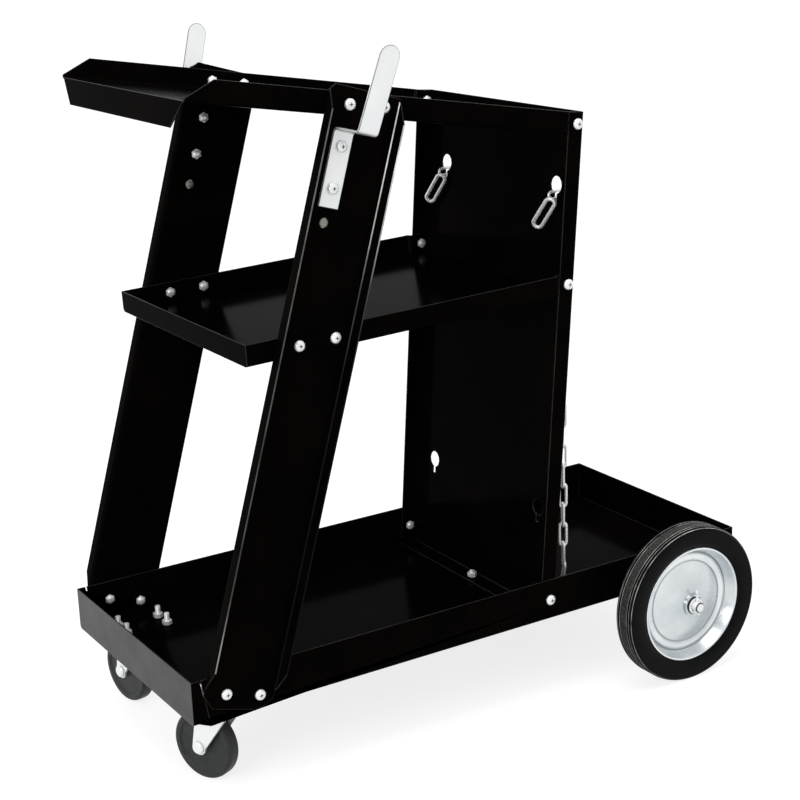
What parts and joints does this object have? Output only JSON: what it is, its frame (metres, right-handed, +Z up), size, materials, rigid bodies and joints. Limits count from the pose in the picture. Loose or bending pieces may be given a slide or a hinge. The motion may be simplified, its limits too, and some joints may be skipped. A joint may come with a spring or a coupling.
{
  "type": "welding cart",
  "caption": "Black steel welding cart: lipped base tray on wheels and swivel casters, slanted legs, middle and sloped top shelves, cable hooks and a rear panel with a cylinder chain.",
  "frame": {"origin": "on the floor, below the middle of the base tray's length and width", "axes": "+X to the rear, towards the cylinder bay; +Y to the right side of a cart that faces -X; +Z up"},
  "size_m": [0.7, 0.4178, 0.7414],
  "materials": {
    "black_coat": "semi-gloss black powder coat",
    "bright_zinc": "bright zinc plate",
    "wheel_steel": "zinc-plated pressing",
    "black_rubber": "matt black rubber",
    "grey_tread": "dark grey caster rubber",
    "chain_steel": "zinc-plated welded chain"
  },
  "bodies": {
    "chassis": {"base_tray": "black_coat", "middle_shelf": "black_coat", "top_shelf": "black_coat", "rear_panel": "black_coat", "left_leg": "black_coat", "right_leg": "black_coat", "left_cable_hook": "bright_zinc", "right_cable_hook": "bright_zinc", "left_leg_foot_front_bolt": "bright_zinc", "left_leg_foot_rear_bolt": "bright_zinc", "left_middle_shelf_front_bolt": "bright_zinc", "left_middle_shelf_rear_bolt": "bright_zinc", "left_top_shelf_front_bolt": "bright_zinc", "left_top_shelf_rear_bolt": "bright_zinc", "left_panel_top_bolt": "bright_zinc", "left_panel_middle_bolt": "bright_zinc", "left_panel_tray_bolt": "bright_zinc", "left_hook_upper_bolt": "bright_zinc", "left_hook_lower_bolt": "bright_zinc", "left_caster_bolt_1": "bright_zinc", "left_caster_bolt_2": "bright_zinc", "left_caster_bolt_3": "bright_zinc", "left_caster_bolt_4": "bright_zinc", "right_leg_foot_front_bolt": "bright_zinc", "right_leg_foot_rear_bolt": "bright_zinc", "right_middle_shelf_front_bolt": "bright_zinc", "right_middle_shelf_rear_bolt": "bright_zinc", "right_top_shelf_front_bolt": "bright_zinc", "right_top_shelf_rear_bolt": "bright_zinc", "right_panel_top_bolt": "bright_zinc", "right_panel_middle_bolt": "bright_zinc", "right_panel_tray_bolt": "bright_zinc", "right_hook_upper_bolt": "bright_zinc", "right_hook_lower_bolt": "bright_zinc", "right_caster_bolt_1": "bright_zinc", "right_caster_bolt_2": "bright_zinc", "right_caster_bolt_3": "bright_zinc", "right_caster_bolt_4": "bright_zinc", "panel_foot_bolt": "bright_zinc", "rear_axle": "bright_zinc", "left_axle_washer": "bright_zinc", "right_axle_washer": "bright_zinc", "left_cotter_pin": "bright_zinc", "right_cotter_pin": "bright_zinc", "left_caster_plate": "bright_zinc", "right_caster_plate": "bright_zinc", "left_chain_end_link": "chain_steel", "right_chain_end_link": "chain_steel"},
    "left_rear_wheel": {"left_rear_tyre": "black_rubber", "left_rear_rim": "wheel_steel"},
    "right_rear_wheel": {"right_rear_tyre": "black_rubber", "right_rear_rim": "wheel_steel"},
    "left_caster": {"left_caster_fork": "bright_zinc", "left_caster_axle": "bright_zinc"},
    "right_caster": {"right_caster_fork": "bright_zinc", "right_caster_axle": "bright_zinc"},
    "left_caster_roller": {"left_caster_wheel": "grey_tread"},
    "right_caster_roller": {"right_caster_wheel": "grey_tread"},
    "chain": {"cylinder_chain": "chain_steel"}
  },
  "joints": [
    {"name": "left_rear_wheel_spin", "type": "hinge", "parent": "chassis", "child": "left_rear_wheel", "pos_m": [0.246, -0.1838, 0.091], "axis": [0, 1, 0], "continuous": true},
    {"name": "right_rear_wheel_spin", "type": "hinge", "parent": "chassis", "child": "right_rear_wheel", "pos_m": [0.246, 0.1838, 0.091], "axis": [0, 1, 0], "continuous": true},
    {"name": "left_caster_swivel", "type": "hinge", "parent": "chassis", "child": "left_caster", "pos_m": [-0.2922, -0.1058, 0.0826], "axis": [0, 0, 1], "continuous": true},
    {"name": "right_caster_swivel", "type": "hinge", "parent": "chassis", "child": "right_caster", "pos_m": [-0.2922, 0.1058, 0.0826], "axis": [0, 0, 1], "continuous": true},
    {"name": "left_caster_wheel_spin", "type": "hinge", "parent": "left_caster", "child": "left_caster_roller", "pos_m": [-0.30579, -0.07485, 0.0375], "axis": [-0.9157, -0.4019, 0], "continuous": true},
    {"name": "right_caster_wheel_spin", "type": "hinge", "parent": "right_caster", "child": "right_caster_roller", "pos_m": [-0.29813, 0.13908, 0.0375], "axis": [-0.9845, -0.1754, 0], "continuous": true},
    {"name": "chain_swing", "type": "hinge", "parent": "chassis", "child": "chain", "pos_m": [0.1328, 0, 0.55525], "axis": [0, -1, 0], "range_deg": [0, 25]}
  ]
}
